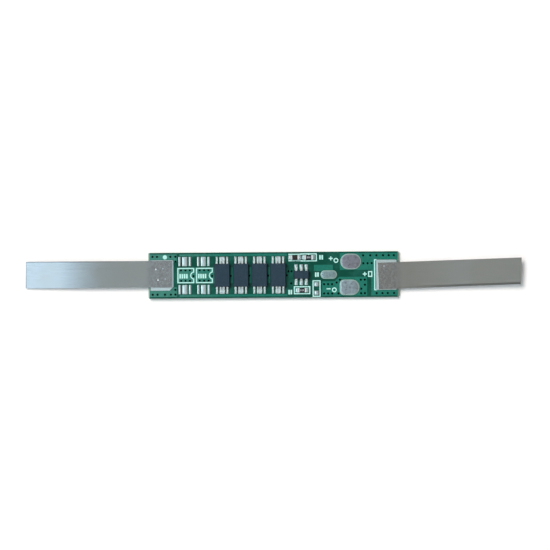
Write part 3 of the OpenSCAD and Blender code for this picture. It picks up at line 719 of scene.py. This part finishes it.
def polarity_signs():
    """Plus and minus signs beside the marks of the lands, as thin raised ink."""
    build = Build()
    arm, stroke = 0.38 * MM, 0.11 * MM
    edge, edge_drop, corner = 0.02 * MM, 0.006 * MM, 0.05 * MM

    def bar(x, y, half_x, half_y):
        low, high = Vector((x - half_x, y - half_y)), Vector((x + half_x, y + half_y))
        profile = [(0, INK_TOP - edge_drop), (edge, INK_TOP), (stroke * 0.8, INK_TOP)]
        build.pillow(corners(low, high), [corner] * 4, LAMINATE_TOP, profile)

    def middle(node):
        low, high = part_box(node)
        return (low + high) / 2

    plus_land, minus_land = middle("p_plus_land"), middle("p_minus_land")
    cell_land = middle("b_plus_land")
    signs = [
        (plus_land.x - 3.72 * MM, plus_land.y + 0.6 * MM, True),
        (minus_land.x - 3.94 * MM, minus_land.y - 0.25 * MM, False),
        (cell_land.x - 4.05 * MM, 0.05 * MM, True),
    ]
    for x, y, plus in signs:
        bar(x, y, arm, stroke)
        if plus:
            for side in (-1, 1):
                bar(x, y + side * (arm + stroke) / 2, stroke, (arm - stroke) / 2)
    piece("polarity_signs", build.verts, build.faces, "legend_ink")


def value_bars():
    """Plain pale bars in the place of the values on the resistors."""
    build = Build()
    pitch, half_wide, half_long = 0.24 * MM, 0.055 * MM, 0.17 * MM
    edge, edge_height, height = 0.02 * MM, 0.004 * MM, 0.008 * MM
    corner, sunk = 0.03 * MM, 0.01 * MM
    for node in ("resistor_1_glaze", "resistor_2_glaze"):
        low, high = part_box(node)
        middle = (low + high) / 2
        profile = [(0, high.z + edge_height), (edge, high.z + height)]
        for step in (-1, 0, 1):
            x = middle.x + step * pitch
            a = Vector((x - half_wide, middle.y - half_long))
            b = Vector((x + half_wide, middle.y + half_long))
            build.pillow(corners(a, b), [corner] * 4, high.z - sunk, profile)
    piece("value_bars", build.verts, build.faces, "legend_ink", material=VALUE_INK)


# ---- Studio ----


def white_floor():
    """A wide white ground just under the board."""
    size, gap = 4.0, 0.02 * MM
    mesh = bpy.data.meshes.new("floor")
    mesh.from_pydata(
        [(-size, -size, 0), (size, -size, 0), (size, size, 0), (-size, size, 0)],
        [],
        [(0, 1, 2, 3)],
    )
    s = Shader("floor")
    s.set(Base_Color=(0.97, 0.97, 0.97, 1.0), Roughness=0.9)
    s.set(Specular_IOR_Level=0.0)
    mesh.materials.append(s.material)
    floor = bpy.data.objects.new("floor", mesh)
    bpy.context.scene.collection.objects.link(floor)
    floor.location.z = BOARD_LOW.z - gap


# Light of the room by direction along X: a bright cool panel on the left, dim on the right
SKY = [
    (-1.00, (0.20, 0.22, 0.23)),
    (-0.72, (0.70, 0.82, 0.88)),
    (-0.60, (1.45, 1.68, 1.76)),
    (-0.32, (1.40, 1.66, 1.80)),
    (-0.25, (0.70, 0.95, 1.22)),
    (-0.18, (0.56, 0.74, 0.92)),
    (-0.12, (0.25, 0.30, 0.32)),
    (-0.06, (0.25, 0.29, 0.30)),
    (0.00, (0.31, 0.295, 0.25)),
    (0.05, (0.23, 0.22, 0.195)),
    (0.12, (0.16, 0.165, 0.16)),
    (1.00, (0.16, 0.165, 0.16)),
]
SKY_STRENGTH = 2.0


def world():
    """Soft room light that fades out towards the horizon."""
    sky = bpy.data.worlds.new("room")
    bpy.context.scene.world = sky
    sky.use_nodes = True
    tree = sky.node_tree
    background = tree.nodes["Background"]
    coordinates = tree.nodes.new("ShaderNodeTexCoord")
    parts = tree.nodes.new("ShaderNodeSeparateXYZ")
    tree.links.new(coordinates.outputs["Generated"], parts.inputs[0])
    along = tree.nodes.new("ShaderNodeMapRange")
    along.inputs["From Min"].default_value = -1.0
    tree.links.new(parts.outputs[0], along.inputs["Value"])
    ramp = tree.nodes.new("ShaderNodeValToRGB")
    elements = ramp.color_ramp.elements
    while len(elements) < len(SKY):
        elements.new(0.5)
    for element, (x, colour) in zip(elements, SKY):
        element.position = (x + 1) / 2
        element.color = rgba([c / SKY_STRENGTH for c in colour])
    tree.links.new(along.outputs["Result"], ramp.inputs[0])
    height = tree.nodes.new("ShaderNodeMapRange")
    height.interpolation_type = "SMOOTHSTEP"
    dark_below, full_above = 0.25, 0.65
    height.inputs["From Min"].default_value = dark_below
    height.inputs["From Max"].default_value = full_above
    height.inputs["To Max"].default_value = SKY_STRENGTH
    tree.links.new(parts.outputs[2], height.inputs["Value"])
    tree.links.new(ramp.outputs["Color"], background.inputs["Color"])
    tree.links.new(height.outputs["Result"], background.inputs["Strength"])


def sun(name, direction, angle, strength, colour):
    """Soft light from a direction, angle degrees wide; the metal reflects the room alone."""
    data = bpy.data.lights.new(name, "SUN")
    data.angle = math.radians(angle)
    data.energy = strength
    data.color = colour
    obj = bpy.data.objects.new(name, data)
    bpy.context.scene.collection.objects.link(obj)
    obj.location = Vector(direction)
    obj.visible_glossy = False
    obj.rotation_euler = (-Vector(direction)).to_track_quat("-Z", "Y").to_euler()


def camera():
    """Straight above the board, far enough away to show almost no perspective."""
    view_width = 103.2 * MM
    height = 0.6
    centre_x, centre_y, turn = 0.27 * MM, -0.01 * MM, -0.42
    data = bpy.data.cameras.new("camera")
    data.sensor_width = 36
    data.lens = data.sensor_width * height / view_width
    data.clip_end = 20
    obj = bpy.data.objects.new("camera", data)
    bpy.context.scene.collection.objects.link(obj)
    obj.location = (centre_x, centre_y, LAND_TOP + height)
    obj.rotation_euler = (0, 0, math.radians(turn))
    bpy.context.scene.camera = obj


dress_nodes()
for name in ("fet_1", "fet_2", "fet_3", "fet_4", "control_chip"):
    soften(name, width=0.09, segments=3)
for name in ("tab_minus", "tab_plus", "resistor_1_ends", "resistor_2_ends", "capacitor_ends"):
    soften(name, width=0.02)
lands()
solder()
via_shade_plug()
polarity_signs()
value_bars()
camera()
white_floor()
world()
sun("upper_left", (-0.42, 0.40, 1.0), angle=28, strength=2.2, colour=(1.0, 0.89, 0.83))
sun("lower_right", (0.25, -0.25, 1.0), angle=40, strength=0.25, colour=(1.0, 0.95, 0.92))

bpy.context.scene.view_settings.view_transform = "Standard"
